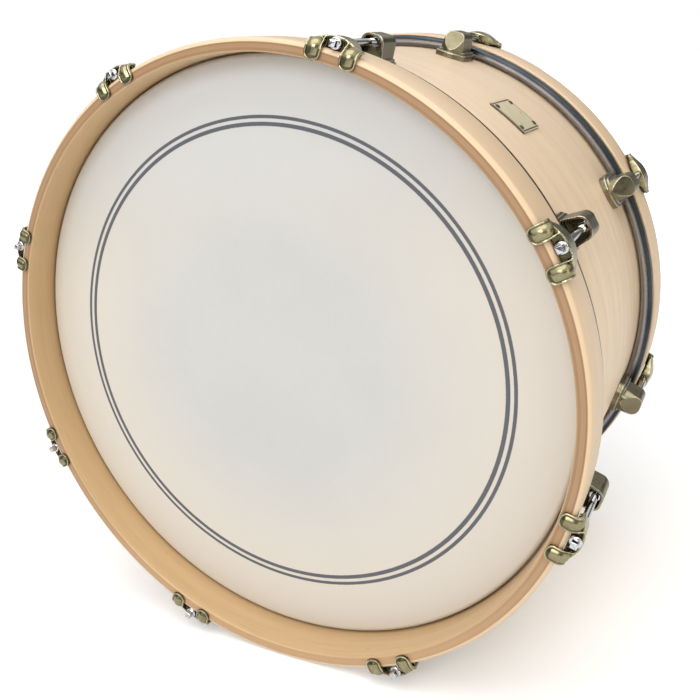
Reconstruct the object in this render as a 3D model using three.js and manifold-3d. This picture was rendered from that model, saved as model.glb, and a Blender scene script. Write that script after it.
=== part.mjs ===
// Marching bass drum, 22 inches across and 12 inches deep, in millimetres.
// The drum's axis runs along Y, with the front head facing -Y. It stands on the rims of its two
// hoops, so +Z is up and the origin lies on the floor, midway along the drum.
// A station is one of the places round the rim that has a claw, a tension rod and a lug.
// In a station's own frame X runs along the rim, Y into the drum from the hoop's outer face,
// and Z out from the drum's axis.

import * as THREE from 'three';
import { mergeVertices } from 'three/addons/utils/BufferGeometryUtils.js';
import Module from 'manifold-3d';

const wasm = await Module();
wasm.setup();

// Counts
const stationCount = 8;
const ringSides = 48;
const rodSides = 8;
const screwSides = 6;
const eyeletSides = 12;
const bendSteps = 2;
const tipSteps = 4;
const noseSteps = 4;
const crestSteps = 6;

// Clearances
const seatGap = 0.3;
const overrun = 2;

// Shell: plies of maple, with a rounded and bevelled bearing edge at each end
const shellRadius = 279.4;
const shellDepth = 304.8;
const shellWall = 7.5;
const bearingRound = 3.5;
const bearingFlat = 0.8;

// Hoops: bent wood, standing out beyond the shell, the outer edge well rounded
const hoopRise = 14.6;
const hoopThickness = 12;
const hoopDepth = 45;
const hoopOverlap = 8.2;
const hoopOuterRound = 4;
const hoopInnerRound = 1.8;

// Heads: a film over the bearing edge, its rim potted in the channel of the flesh hoop, which
// runs round the shell with a gap and stays inside the hoop's outer edge
const filmThickness = 0.8;
const collarDrop = 3.8;
const channelGap = 3.8;
const channelInset = 2.4;
const channelDepth = 11;
const channelWall = 1.6;
const channelLipDrop = 1.8;

// Claws: cast hooks with two tongues over the hoop and a hollow half-round roof over the rod
const clawWidth = 46;
const tongueWidth = 14.5;
const clawNose = 5;
const clawShoulder = 4;
const clawCrest = 10.6;
const clawSeat = 4;
const clawSeatWall = 3.5;
const clawWall = 2.2;
const clawSide = 4.5;
const noseShares = [[0.5, 0.42], [0.9, 0.14], [1, -0.2], [1, -0.72], [0.7, -1]];

// Tension rods: a shank, a round flange and a square key head
const rodRadius = 3;
const rodStandoff = 5.5;
const rodReach = 97;
const flangeRadius = 5.2;
const flangeThickness = 2.2;
const keyWidth = 5.6;
const keyLength = 5.5;

// Lugs: hollow castings on a stepped foot, open towards the hoop, a slanted facet at the other end
const lugStart = 66;
const footLength = 39;
const footWidth = 33.5;
const footHeight = 5.5;
const footCorner = 6;
const footBow = 1.5;
const stepInset = 2;
const stepHeight = 2.5;
const barrelStart = 71;
const barrelLength = 33;
const barrelWidth = 27;
const barrelCrown = 7;
const barrelRound = 7;
const shoulderInset = 3;
const facetFoot = 11.5;
const facetLean = 6.5;
const lugWall = 3;
const mouthDepth = 12;
const nutRadius = 5;
const nutProud = 4;

// Lug screws: two to a lug, put in from inside the shell
const screwRadius = 2.5;
const screwHeadRadius = 5.5;
const screwHeadHeight = 3.5;
const screwBite = 2.75;
const screwPlaces = [8, 30];

// Badge: a curved plate, held by four domed pins
const badgeLength = 54;
const badgeWidth = 41;
const badgeThickness = 1.5;
const pinRadius = 1.2;
const pinDepth = 4;
const pinHeadRadius = 2.6;
const pinCrownRadius = 1.3;
const pinHeadHeight = 1.3;
const pinInset = 4.6;

// Vent: an eyelet through the shell, on the side away from the badge
const ventBore = 4.5;
const ventBarrel = 5.7;
const ventFlange = 9;
const ventLip = 7.2;
const ventFlangeThickness = 1.4;

// Worked out from the sizes above
const halfFacet = Math.PI / ringSides;
const badgeAngle = Math.PI / stationCount * 2;
const ventAngle = -Math.PI / 2;
const hoopRadius = shellRadius + hoopRise;
const shellFlat = shellRadius * Math.cos(halfFacet);
const shellInner = shellRadius - shellWall;
const shellInnerFlat = shellInner * Math.cos(halfFacet);
const hoopFlat = hoopRadius * Math.cos(halfFacet);
const hoopInner = hoopRadius - hoopThickness;
const edgeStart = hoopDepth - hoopOverlap;
const drumLength = shellDepth + 2 * edgeStart;
const channelRadius = hoopRadius - channelInset;
const channelInner = shellRadius + channelGap;
const channelStart = hoopDepth + seatGap;
const channelEnd = channelStart + channelDepth;
const rodAxis = hoopFlat + rodStandoff;
const crestHeight = clawCrest - clawShoulder;
const crestArc = (clawWidth * clawWidth / 4 + crestHeight * crestHeight) / (2 * crestHeight);
const crestCentre = hoopFlat + clawCrest - crestArc;
const tongueEnd = hoopFlat - hoopThickness;
const barrelTop = rodAxis + barrelCrown;

// Finishes
const finishes = {
  maple: { color: 0xe3cda9, roughness: 0.42, metalness: 0 },
  hoopWood: { color: 0xd2ae7e, roughness: 0.4, metalness: 0 },
  film: { color: 0xd9d7d0, roughness: 0.62, metalness: 0 },
  aluminium: { color: 0x8f9097, roughness: 0.32, metalness: 1 },
  brass: { color: 0x8b845c, roughness: 0.38, metalness: 1 },
  chrome: { color: 0xc9ccd2, roughness: 0.14, metalness: 1 },
};

function finish(name) {
  return new THREE.MeshStandardMaterial(finishes[name]);
}

// Solids are cut and joined as closed meshes whose corners are shared
function solidOf(geometry) {
  const bare = geometry.clone();
  bare.deleteAttribute('normal');
  bare.deleteAttribute('uv');
  const merged = mergeVertices(bare);
  return new wasm.Manifold(new wasm.Mesh({
    numProp: 3,
    vertProperties: merged.attributes.position.array,
    triVerts: merged.index.array,
  }));
}

function geometryOf(solid) {
  const mesh = solid.getMesh();
  const geometry = new THREE.BufferGeometry();
  geometry.setAttribute('position', new THREE.BufferAttribute(mesh.vertProperties, 3));
  geometry.setIndex(new THREE.BufferAttribute(mesh.triVerts, 1));
  const flat = geometry.toNonIndexed();
  flat.computeVertexNormals();
  return flat;
}

// Points of a round stretch of an outline
function arc(x, y, radius, from, to, steps) {
  const points = [];
  for (let i = 0; i <= steps; i += 1) {
    const angle = from + (to - from) * i / steps;
    points.push([x + radius * Math.cos(angle), y + radius * Math.sin(angle)]);
  }
  return points;
}

function outline(points) {
  return new THREE.Shape(points.map(([x, y]) => new THREE.Vector2(x, y)));
}

// A closed ring about the drum's axis, from points of [radius, place along the axis]
function turned(points, sides = ringSides) {
  const profile = points.map(([radius, along]) => new THREE.Vector2(radius, along));
  const open = points[0][0] > 0;
  if (open) {
    profile.push(profile[0].clone());
  }
  return new THREE.LatheGeometry(profile, sides, Math.PI / sides);
}

// An outline of [across, out] points, drawn along Y between two places
function alongAxis(points, from, to) {
  const geometry = new THREE.ExtrudeGeometry(outline(points), { depth: to - from, bevelEnabled: false });
  geometry.rotateX(Math.PI / 2);
  geometry.translate(0, to, 0);
  return geometry;
}

// An outline of [along, out] points, drawn across X, its middle at X = 0
function acrossRim(points, width) {
  const geometry = new THREE.ExtrudeGeometry(outline(points), { depth: width, bevelEnabled: false });
  geometry.translate(0, 0, -width / 2);
  const turn = new THREE.Matrix4().makeBasis(
    new THREE.Vector3(0, 1, 0),
    new THREE.Vector3(0, 0, 1),
    new THREE.Vector3(1, 0, 0),
  );
  geometry.applyMatrix4(turn);
  return geometry;
}

// An outline of [across, along] points, raised along Z between two heights
function raised(points, from, to) {
  const geometry = new THREE.ExtrudeGeometry(outline(points), { depth: to - from, bevelEnabled: false });
  geometry.translate(0, 0, from);
  return geometry;
}

// A round bar along Y, centred at X = 0 and the given height
function barAlong(radius, from, to, height, sides) {
  const geometry = new THREE.CylinderGeometry(radius, radius, to - from, sides);
  geometry.translate(0, (from + to) / 2, height);
  return geometry;
}

// A round bar along Z, with its own radius at the low and the high end
function barOut(lowRadius, highRadius, from, to, x, y, sides) {
  const geometry = new THREE.CylinderGeometry(highRadius, lowRadius, to - from, sides);
  geometry.rotateX(Math.PI / 2);
  geometry.translate(x, y, (from + to) / 2);
  return geometry;
}

// The radius at which a bore with flat sides still clears a bar of that radius
function boreRadius(radius, sides) {
  return (radius + seatGap) / Math.cos(Math.PI / sides);
}

function stationAngle(index) {
  return (index + 0.5) * 2 * Math.PI / stationCount;
}

// Shell

function shellProfile() {
  const half = shellDepth / 2;
  const apex = shellRadius - bearingRound;
  const bevel = apex - bearingFlat - shellInner;
  const corner = half - bearingRound;
  return [
    ...arc(apex, -corner, bearingRound, -Math.PI / 2, 0, bendSteps),
    ...arc(apex, corner, bearingRound, 0, Math.PI / 2, bendSteps),
    [apex - bearingFlat, half],
    [shellInner, half - bevel],
    [shellInner, bevel - half],
    [apex - bearingFlat, -half],
  ];
}

function pinPlaces() {
  const x = badgeWidth / 2 - pinInset;
  const y = badgeLength / 2 - pinInset;
  return [[-x, -y], [x, -y], [x, y], [-x, y]];
}

function shellGeometry() {
  let shell = solidOf(turned(shellProfile()));
  const low = shellInnerFlat - overrun;
  const high = shellRadius + overrun;
  for (let i = 0; i < stationCount; i += 1) {
    for (const side of [-1, 1]) {
      for (const place of screwPlaces) {
        const y = side * (drumLength / 2 - lugStart - place);
        const radius = boreRadius(screwRadius, screwSides);
        const hole = barOut(radius, radius, low, high, 0, y, screwSides);
        hole.rotateY(stationAngle(i));
        shell = shell.subtract(solidOf(hole));
      }
    }
  }
  for (const [x, y] of pinPlaces()) {
    const radius = boreRadius(pinRadius, screwSides);
    const hole = barOut(radius, radius, shellFlat - pinDepth - seatGap, high, x, y, screwSides);
    hole.rotateY(badgeAngle);
    shell = shell.subtract(solidOf(hole));
  }
  const ventRadius = boreRadius(ventBarrel, eyeletSides);
  const vent = barOut(ventRadius, ventRadius, low, high, 0, 0, eyeletSides);
  vent.rotateY(ventAngle);
  return geometryOf(shell.subtract(solidOf(vent)));
}

// A plate that follows the shell's flats, from an angle before to an angle after its middle
function platePoints(low, high, halfWidth) {
  const reach = halfWidth / shellRadius;
  const angles = [-reach];
  const first = Math.ceil((-reach - halfFacet) / (2 * halfFacet));
  for (let k = first; halfFacet + k * 2 * halfFacet < reach; k += 1) {
    const angle = halfFacet + k * 2 * halfFacet;
    if (angle > -reach) {
      angles.push(angle);
    }
  }
  angles.push(reach);
  const at = (radius) => angles.map((angle) => [radius * Math.sin(angle), radius * Math.cos(angle)]);
  return [...at(low), ...at(high).reverse()];
}

function badgeGeometry() {
  const low = shellRadius + seatGap;
  const high = low + badgeThickness;
  const plate = alongAxis(platePoints(low, high, badgeWidth / 2), -badgeLength / 2, badgeLength / 2);
  let badge = solidOf(plate);
  for (const [x, y] of pinPlaces()) {
    const top = Math.sqrt(high * high - x * x) * Math.cos(halfFacet);
    const head = barOut(pinHeadRadius, pinCrownRadius, top, top + pinHeadHeight, x, y, screwSides);
    const shank = barOut(pinRadius, pinRadius, shellFlat - pinDepth, top, x, y, screwSides);
    badge = badge.add(solidOf(head)).add(solidOf(shank));
  }
  return geometryOf(badge);
}

function ventGeometry() {
  const outside = shellRadius + seatGap;
  const inside = shellInnerFlat - seatGap;
  const eyelet = turned([
    [ventBore, inside - ventFlangeThickness],
    [ventLip, inside - ventFlangeThickness],
    [ventLip, inside],
    [ventBarrel, inside],
    [ventBarrel, outside],
    [ventFlange, outside],
    [ventFlange - ventFlangeThickness, outside + ventFlangeThickness],
    [ventBore, outside + ventFlangeThickness],
  ], eyeletSides);
  eyelet.rotateX(Math.PI / 2);
  return eyelet;
}

// Hoops, heads and flesh hoops, from the hoop's outer face inwards

function hoopGeometry() {
  const outer = hoopOuterRound;
  const inner = hoopInnerRound;
  return turned([
    ...arc(hoopInner + inner, inner, inner, Math.PI, Math.PI * 1.5, 1),
    ...arc(hoopRadius - outer, outer, outer, -Math.PI / 2, 0, bendSteps),
    ...arc(hoopRadius - inner, hoopDepth - inner, inner, 0, Math.PI / 2, 1),
    ...arc(hoopInner + inner, hoopDepth - inner, inner, Math.PI / 2, Math.PI, 1),
  ]);
}

function fleshHoopGeometry() {
  const floor = channelEnd - channelWall;
  const lip = channelStart + channelLipDrop;
  const outerLip = channelRadius - channelWall;
  const innerLip = channelInner + channelWall;
  return turned([
    [channelInner, lip],
    [innerLip, lip],
    [innerLip, floor],
    [outerLip, floor],
    [outerLip, channelStart],
    [channelRadius, channelStart],
    [channelRadius, channelEnd - channelWall],
    [channelRadius - channelWall, channelEnd],
    [channelInner, channelEnd],
  ]);
}

// The film lies flat on the bearing edge, turns over it, and runs out into the channel
function headGeometry() {
  const apex = shellRadius - bearingRound;
  const under = edgeStart - seatGap;
  const face = under - filmThickness;
  const inner = bearingRound + seatGap;
  const outer = inner + filmThickness;
  const turn = edgeStart + bearingRound;
  const rimInner = channelInner + channelWall + seatGap;
  const rimOuter = channelRadius - channelWall - seatGap;
  const rimTop = channelStart + channelLipDrop - seatGap - filmThickness;
  const rimEnd = channelEnd - channelWall - seatGap;
  return turned([
    [0, face],
    ...arc(apex, turn, outer, -Math.PI / 2, 0, bendSteps),
    [apex + outer, turn + collarDrop],
    [channelInner, rimTop],
    [rimOuter, rimTop],
    [rimOuter, rimEnd],
    [rimInner, rimEnd],
    [rimInner, rimTop + filmThickness],
    [apex + inner, turn + collarDrop + filmThickness],
    ...arc(apex, turn, inner, 0, -Math.PI / 2, bendSteps),
    [0, under],
  ]);
}

// Claws

// Seen from the front: the crest of the roof above, and two round-ended tongues below
function clawFace() {
  const half = clawWidth / 2;
  const sweep = Math.asin(half / crestArc);
  const tip = tongueWidth / 2;
  const centre = half - tip;
  return [
    ...arc(0, crestCentre, crestArc, Math.PI / 2 + sweep, Math.PI / 2 - sweep, crestSteps),
    ...arc(centre, tongueEnd + tip, tip, 0, -Math.PI, tipSteps),
    [centre - tip, hoopFlat + seatGap],
    [tip - centre, hoopFlat + seatGap],
    ...arc(-centre, tongueEnd + tip, tip, 0, -Math.PI, tipSteps),
  ];
}

// Seen from the side: a hook over the front edge of the hoop
function clawHook() {
  const top = hoopFlat + clawCrest + overrun;
  const nose = noseShares.map(([along, out]) => [-along * clawNose, hoopFlat + out * hoopThickness]);
  return [
    [clawWidth / 2, hoopFlat + seatGap],
    [clawWidth / 2, top],
    [clawSeat, top],
    ...nose,
    [-seatGap, tongueEnd],
    [-seatGap, hoopFlat + seatGap],
  ];
}

// Seen from above: the roof's half-round back edge behind the straight sides of the tongues
function clawPlan() {
  const half = clawWidth / 2;
  const front = -clawNose - overrun;
  return [[-half, front], [half, front], ...arc(0, 0, half, 0, Math.PI, crestSteps)];
}

// The space under the roof, behind the wall that the rod passes through
function clawHollow() {
  const inside = crestArc - clawWall;
  const half = clawWidth / 2 - clawSide;
  const sweep = Math.asin(half / inside);
  const points = [
    [half, hoopFlat],
    ...arc(0, crestCentre, inside, Math.PI / 2 - sweep, Math.PI / 2 + sweep, bendSteps),
    [-half, hoopFlat],
  ];
  return alongAxis(points, clawSeat + clawSeatWall, clawWidth / 2 + overrun);
}

// The gap between the tongues, as deep as the seat of the rod's flange
function clawGap() {
  const half = clawWidth / 2 - tongueWidth;
  const top = hoopFlat + clawCrest + overrun;
  const points = [
    [half, tongueEnd - overrun],
    [half, top],
    [-half, top],
    [-half, tongueEnd - overrun],
  ];
  return alongAxis(points, -clawNose - overrun, clawSeat);
}

function clawGeometry() {
  const radius = boreRadius(rodRadius, rodSides);
  const bore = barAlong(radius, 0, clawWidth / 2 + overrun, rodAxis, rodSides);
  const face = solidOf(alongAxis(clawFace(), -clawNose - overrun, clawWidth / 2 + overrun));
  const plan = solidOf(raised(clawPlan(), tongueEnd - overrun, hoopFlat + clawCrest + overrun));
  const claw = solidOf(acrossRim(clawHook(), clawWidth + overrun)).intersect(face).intersect(plan);
  const cuts = solidOf(clawHollow()).add(solidOf(clawGap())).add(solidOf(bore));
  return geometryOf(claw.subtract(cuts));
}

// Tension rods

function rodGeometry() {
  const flangeBack = clawSeat - seatGap;
  const flangeFront = flangeBack - flangeThickness;
  const shank = solidOf(barAlong(rodRadius, flangeFront, rodReach, rodAxis, rodSides));
  const flange = solidOf(barAlong(flangeRadius, flangeFront, flangeBack, rodAxis, rodSides));
  const key = new THREE.BoxGeometry(keyWidth, keyLength, keyWidth);
  key.translate(0, flangeFront - keyLength / 2, rodAxis);
  return geometryOf(shank.add(flange).add(solidOf(key)));
}

// Lugs

// The foot in plan, with round corners and a bowed closed end
function footPlan(inset) {
  const half = footWidth / 2 - inset;
  const far = lugStart + footLength - inset;
  const corner = far - footCorner - footBow;
  return [
    [-half, lugStart],
    [half, lugStart],
    ...arc(half - footCorner, corner, footCorner, 0, Math.PI / 2, 1),
    ...arc(footCorner - half, corner, footCorner, Math.PI / 2, Math.PI, 1),
  ];
}

// The barrel in plan, with a round nose
function barrelPlan() {
  const half = barrelWidth / 2;
  return [
    [-half, barrelStart],
    [half, barrelStart],
    ...arc(0, barrelStart + barrelLength - half, half, 0, Math.PI, noseSteps),
  ];
}

// The barrel seen from its mouth, with leaning sides and round shoulders
function barrelFace(inset, base) {
  const half = barrelWidth / 2 - inset;
  const round = barrelRound - inset;
  const shoulder = barrelTop - inset - round;
  const centre = half - shoulderInset - round;
  return [
    [-half, base],
    [half, base],
    ...arc(centre, shoulder, round, 0, Math.PI / 2, bendSteps),
    ...arc(-centre, shoulder, round, Math.PI / 2, Math.PI, bendSteps),
  ];
}

// The barrel seen from the side, its nose cut to the slanted facet
function barrelSide() {
  const nose = barrelStart + barrelLength;
  return [
    [barrelStart, shellFlat + footHeight],
    [nose, shellFlat + footHeight],
    [nose, shellFlat + facetFoot],
    [nose - facetLean, barrelTop],
    [barrelStart, barrelTop],
  ];
}

// A screw through the shell into the foot, its head against the inside of the shell
function screwSolid(along) {
  const root = shellInnerFlat - seatGap;
  const end = shellFlat + screwBite;
  const foot = root - screwHeadHeight;
  const shank = barOut(screwRadius, screwRadius, root, end, 0, along, screwSides);
  const head = barOut(screwHeadRadius, screwHeadRadius, foot, root, 0, along, screwSides);
  return solidOf(shank).add(solidOf(head));
}

function lugGeometry() {
  const seat = shellFlat + seatGap;
  const footTop = shellFlat + footHeight;
  const foot = solidOf(raised(footPlan(0), seat, footTop));
  const step = solidOf(raised(footPlan(stepInset), footTop, footTop + stepHeight));
  const barrel = solidOf(raised(barrelPlan(), footTop, barrelTop))
    .intersect(solidOf(alongAxis(barrelFace(0, footTop), barrelStart, barrelStart + barrelLength)))
    .intersect(solidOf(acrossRim(barrelSide(), barrelWidth + overrun)));
  const mouthEnd = barrelStart + mouthDepth;
  const mouth = solidOf(alongAxis(barrelFace(lugWall, footTop + stepHeight), lugStart, mouthEnd));
  const nut = solidOf(barAlong(nutRadius, mouthEnd - nutProud, mouthEnd + overrun, rodAxis, screwSides));
  const radius = boreRadius(rodRadius, screwSides);
  const bore = solidOf(barAlong(radius, barrelStart, rodReach + seatGap, rodAxis, screwSides));
  let lug = foot.add(step).add(barrel).subtract(mouth).add(nut).subtract(bore);
  for (const place of screwPlaces) {
    lug = lug.add(screwSolid(lugStart + place));
  }
  return geometryOf(lug);
}

// The drum

function node(name, geometry, finishName) {
  const mesh = new THREE.Mesh(geometry, finish(finishName));
  mesh.name = name;
  return mesh;
}

const drum = new THREE.Group();
drum.position.z = hoopFlat;

drum.add(node('shell', shellGeometry(), 'maple'));

const badge = node('badge', badgeGeometry(), 'brass');
badge.rotation.y = badgeAngle;
drum.add(badge);

const vent = node('vent_grommet', ventGeometry(), 'brass');
vent.rotation.y = ventAngle;
drum.add(vent);

// The rear end is the front end turned half round, so its stations count the other way
const ends = [['front', 1, 0], ['rear', -1, Math.PI]];
const rings = [
  ['hoop', hoopGeometry(), 'hoopWood'],
  ['head', headGeometry(), 'film'],
  ['flesh_hoop', fleshHoopGeometry(), 'aluminium'],
];
const stationPieces = [
  ['claw', clawGeometry(), 'brass'],
  ['rod', rodGeometry(), 'chrome'],
  ['lug', lugGeometry(), 'brass'],
];
for (const [side, sense, turn] of ends) {
  const end = new THREE.Group();
  end.rotation.z = turn;
  for (const [name, geometry, finishName] of rings) {
    const ring = node(`${side}_${name}`, geometry, finishName);
    ring.position.y = -drumLength / 2;
    end.add(ring);
  }
  for (let i = 0; i < stationCount; i += 1) {
    const station = new THREE.Group();
    station.rotation.y = sense * stationAngle(i);
    station.position.y = -drumLength / 2;
    for (const [name, geometry, finishName] of stationPieces) {
      station.add(node(`${side}_${name}_${i + 1}`, geometry, finishName));
    }
    end.add(station);
  }
  drum.add(end);
}

const model = new THREE.Group();
model.add(drum);

export default model;
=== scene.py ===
"""A marching bass drum on a pale floor: maple shell, wood hoops, coated heads and cast brass fittings."""

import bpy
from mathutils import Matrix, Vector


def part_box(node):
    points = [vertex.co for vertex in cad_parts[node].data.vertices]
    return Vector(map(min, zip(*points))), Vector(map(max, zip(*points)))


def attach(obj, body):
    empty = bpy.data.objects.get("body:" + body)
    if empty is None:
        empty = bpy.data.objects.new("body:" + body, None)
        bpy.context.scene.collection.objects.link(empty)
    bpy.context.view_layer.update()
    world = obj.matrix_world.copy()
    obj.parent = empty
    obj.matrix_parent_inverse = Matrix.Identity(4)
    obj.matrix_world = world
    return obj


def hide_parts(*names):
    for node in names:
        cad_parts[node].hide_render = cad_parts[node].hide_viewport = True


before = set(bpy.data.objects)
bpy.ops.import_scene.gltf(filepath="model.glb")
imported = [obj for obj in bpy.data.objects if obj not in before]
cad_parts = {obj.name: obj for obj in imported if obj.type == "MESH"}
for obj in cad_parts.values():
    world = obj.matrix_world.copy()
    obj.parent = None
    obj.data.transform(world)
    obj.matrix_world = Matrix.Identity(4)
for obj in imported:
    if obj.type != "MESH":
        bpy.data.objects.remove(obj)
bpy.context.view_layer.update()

import math
from contextlib import contextmanager

import bmesh
import bpy
import numpy as np
from mathutils import Matrix, Vector

bl_info = {
    "name": "Marching Bass Drum",
    "version": (1, 0, 0),
    "blender": (4, 5, 0),
    "location": "View3D > Sidebar > Drum",
    "description": "Builds a marching bass drum with wood hoops and cast fittings",
    "category": "Add Mesh",
}

MM = 0.001
STATIONS = 8
SIDES = ("front", "rear")
FULL_TURN = 2 * math.pi
QUARTER_TURN = math.pi / 2
RING_STEPS = 192
MERGE = 0.001
FINE_MERGE = 0.0005


def radius_of(node):
    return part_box(node)[1].x / MM


def span(node):
    """A front piece's start and end, in millimetres behind the front hoop's outer face."""
    low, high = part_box(node)
    return low.y / MM + HALF_LENGTH, high.y / MM + HALF_LENGTH


# The drum lies along Y. Its axis is one hoop radius above the floor. All lengths are in millimetres.
HOOP_RADIUS = radius_of("front_hoop")
HALF_LENGTH = -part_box("front_hoop")[0].y / MM
AXIS_HEIGHT = HOOP_RADIUS
HOOP_DEPTH = span("front_hoop")[1]
SHELL_RADIUS = radius_of("shell")
SHELL_END = span("shell")[0]
CHANNEL_RADIUS = radius_of("front_flesh_hoop")
CHANNEL_START, CHANNEL_END = span("front_flesh_hoop")
FILM_FACE, FILM_BACK = span("front_head")
FILM_RIM = radius_of("front_head")


def length_property(name, description, size, least, most):
    """A length whose default and limits are given in millimetres."""
    return bpy.props.FloatProperty(
        name=name, description=description, default=size * MM, min=least * MM, max=most * MM,
        subtype="DISTANCE", unit="LENGTH")


def colour_property(name, description, colour):
    return bpy.props.FloatVectorProperty(
        name=name, description=description, default=colour, subtype="COLOR", min=0, max=1)


class DrumSizes(bpy.types.PropertyGroup):
    """Sizes and colours of the drum that a user may change."""

    hoop_thickness: length_property("Hoop Thickness", "Wall of each wood hoop", 12, 6, 20)
    shell_wall: length_property("Shell Wall", "Wall of the maple shell", 7.5, 4, 14)
    ring_radius: length_property("Printed Ring", "Middle radius of each head's double ring", 223.5, 120, 260)
    camera_lens: bpy.props.FloatProperty(
        name="Camera Lens", description="Focal length of the portrait camera in millimetres",
        default=43.267, min=18, max=120)
    maple: colour_property("Maple", "Colour of the shell's outer ply", (0.785, 0.608, 0.43))
    hoop_maple: colour_property("Hoop Maple", "Colour of the hoops' wood", (0.525, 0.355, 0.19))
    film: colour_property("Coated Film", "Colour of the heads", (0.52, 0.516, 0.497))
    ring_ink: colour_property("Ring Ink", "Colour of the printed double ring", (0.052, 0.06, 0.078))
    brass: colour_property("Antique Brass", "Colour of the claws", (0.31, 0.276, 0.157))
    dark_brass: colour_property("Dark Brass", "Colour of the lugs", (0.22, 0.193, 0.122))
    backdrop: colour_property("Backdrop", "Colour of the floor and the air behind the drum", (1, 1, 1))


def sizes():
    return bpy.context.scene.drum_sizes


# ---- Modelling helpers. Models are drawn in millimetres and scaled when they are placed. ----


def only(piece):
    """Makes one piece the active and only selected object."""
    for other in bpy.context.selected_objects:
        other.select_set(False)
    bpy.context.view_layer.objects.active = piece
    piece.select_set(True)


def select_all():
    bpy.ops.mesh.select_all(action="SELECT")


@contextmanager
def editing(piece):
    """Edit mode on one piece, with all of it selected."""
    only(piece)
    bpy.ops.object.mode_set(mode="EDIT")
    bpy.ops.mesh.select_mode(type="VERT")
    select_all()
    yield
    bpy.ops.object.mode_set(mode="OBJECT")


def pick(piece, kind, passes):
    """In edit mode, selects the vertices, edges or faces that pass a test."""
    bpy.ops.mesh.select_mode(type=kind)
    bpy.ops.mesh.select_all(action="DESELECT")
    shape = bmesh.from_edit_mesh(piece.data)
    for part in {"VERT": shape.verts, "EDGE": shape.edges, "FACE": shape.faces}[kind]:
        if passes(part):
            part.select_set(True)
    shape.select_flush_mode()
    bmesh.update_edit_mesh(piece.data)


def extrude(step):
    """In edit mode, extrudes what is selected along a vector."""
    bpy.ops.mesh.extrude_region_move(TRANSFORM_OT_translate={"value": step})


def spin(steps, angle=FULL_TURN, centre=(0, 0, 0), axis=(0, 1, 0)):
    """In edit mode, spins what is selected about an axis."""
    bpy.ops.mesh.spin(steps=steps, angle=angle, center=centre, axis=axis, use_auto_merge=False)


def merge_close(threshold):
    """In edit mode, joins all vertices that lie closer than a distance."""
    select_all()
    bpy.ops.mesh.remove_doubles(threshold=threshold)


def turn_outwards():
    """In edit mode, makes all faces look outwards."""
    select_all()
    bpy.ops.mesh.normals_make_consistent(inside=False)


def drop_outline(piece):
    """In edit mode, takes away the drawn outline's own face, which a full spin leaves inside."""
    pick(piece, "FACE", lambda f: len(f.verts) > 4)
    bpy.ops.mesh.delete(type="ONLY_FACE")


def middle(part):
    """The middle of an edge or face."""
    return sum((vertex.co for vertex in part.verts), Vector()) / len(part.verts)


def named(name):
    """The new primitive, under its own name."""
    piece = bpy.context.object
    piece.name = name
    piece.data.name = name
    return piece


def settle(piece):
    """Puts the piece's place, turn and scale into its mesh."""
    only(piece)
    bpy.ops.object.transform_apply(location=True, rotation=True, scale=True)
    return piece


def modified(piece, kind, **settings):
    """Adds one modifier and applies it."""
    only(piece)
    bpy.ops.object.modifier_add(type=kind)
    modifier = piece.modifiers[-1]
    for key, value in settings.items():
        setattr(modifier, key, value)
    bpy.ops.object.modifier_apply(modifier=modifier.name)
    return piece


def combined(piece, other, operation):
    """Keeps the union, difference or overlap of a piece with another, which is used up."""
    modified(piece, "BOOLEAN", operation=operation, object=other, solver="EXACT")
    bpy.data.objects.remove(other)
    return piece


def cut(piece, *others):
    """Cuts each of the others out of a piece."""
    for other in others:
        combined(piece, other, "DIFFERENCE")
    return piece


def joined(piece, *others):
    """Several pieces as one mesh."""
    only(piece)
    for other in others:
        other.select_set(True)
    bpy.ops.object.join()
    return piece


def drawn(name, points, closed=True):
    """An outline drawn from point to point, filled if it is closed."""
    bpy.ops.mesh.primitive_plane_add(size=1, location=(0, 0, 0))
    piece = named(name)
    with editing(piece):
        bpy.ops.mesh.merge(type="CENTER")
        bpy.ops.transform.translate(value=points[0])
        for before, after in zip(points, points[1:]):
            extrude(Vector(after) - Vector(before))
        if closed:
            select_all()
            bpy.ops.mesh.edge_face_add()
    return piece


def rounded(piece, corners):
    """Rounds corners of a drawn outline: each is a point, a radius and a number of steps."""
    with editing(piece):
        for corner, radius, steps in corners:
            place = Vector(corner)
            pick(piece, "VERT", lambda v: (v.co - place).length < 0.01)
            bpy.ops.mesh.bevel(offset=radius, segments=steps, affect="VERTICES")
    return piece


def bevelled(piece, passes, width, steps):
    """Bevels the edges that pass a test."""
    with editing(piece):
        pick(piece, "EDGE", passes)
        bpy.ops.mesh.bevel(offset=width, segments=steps)
    return piece


def prism(name, points, depth, corners=()):
    """A drawn outline, its corners rounded, given depth along a vector."""
    piece = rounded(drawn(name, points), corners)
    with editing(piece):
        extrude(depth)
        turn_outwards()
    return piece


def revolved(piece, steps, axis=(0, 1, 0)):
    """A drawn and filled outline as a solid ring about an axis."""
    with editing(piece):
        spin(steps, axis=axis)
        merge_close(MERGE)
        drop_outline(piece)
        turn_outwards()
    return piece


def ring_outline(points):
    """Points of [radius, place along the drum] as points above the drum's axis."""
    return [(0, along, radius) for radius, along in points]


def ring(name, points, corners):
    """A solid ring about the drum's axis. Corners are an index into the points, a radius and steps."""
    outline = ring_outline(points)
    corners = [(outline[i], radius, steps) for i, radius, steps in corners]
    return revolved(rounded(drawn(name, outline), corners), RING_STEPS)


def arc(x, y, radius, start, end, steps):
    """Points of a round stretch of an outline, angles in degrees."""
    angles = [math.radians(start + (end - start) * i / steps) for i in range(steps + 1)]
    return [(x + radius * math.cos(a), y + radius * math.sin(a)) for a in angles]


def bar(name, radius, start, end, height=0.0, sides=24, axis="Y"):
    """A round bar along Y, or along Z, between two places."""
    along = (start + end) / 2
    turn, centre = ((QUARTER_TURN, 0, 0), (0, along, height)) if axis == "Y" else ((0, 0, 0), (0, 0, along))
    bpy.ops.mesh.primitive_cylinder_add(
        vertices=sides, radius=radius, depth=end - start, location=centre, rotation=turn)
    return settle(named(name))


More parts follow.
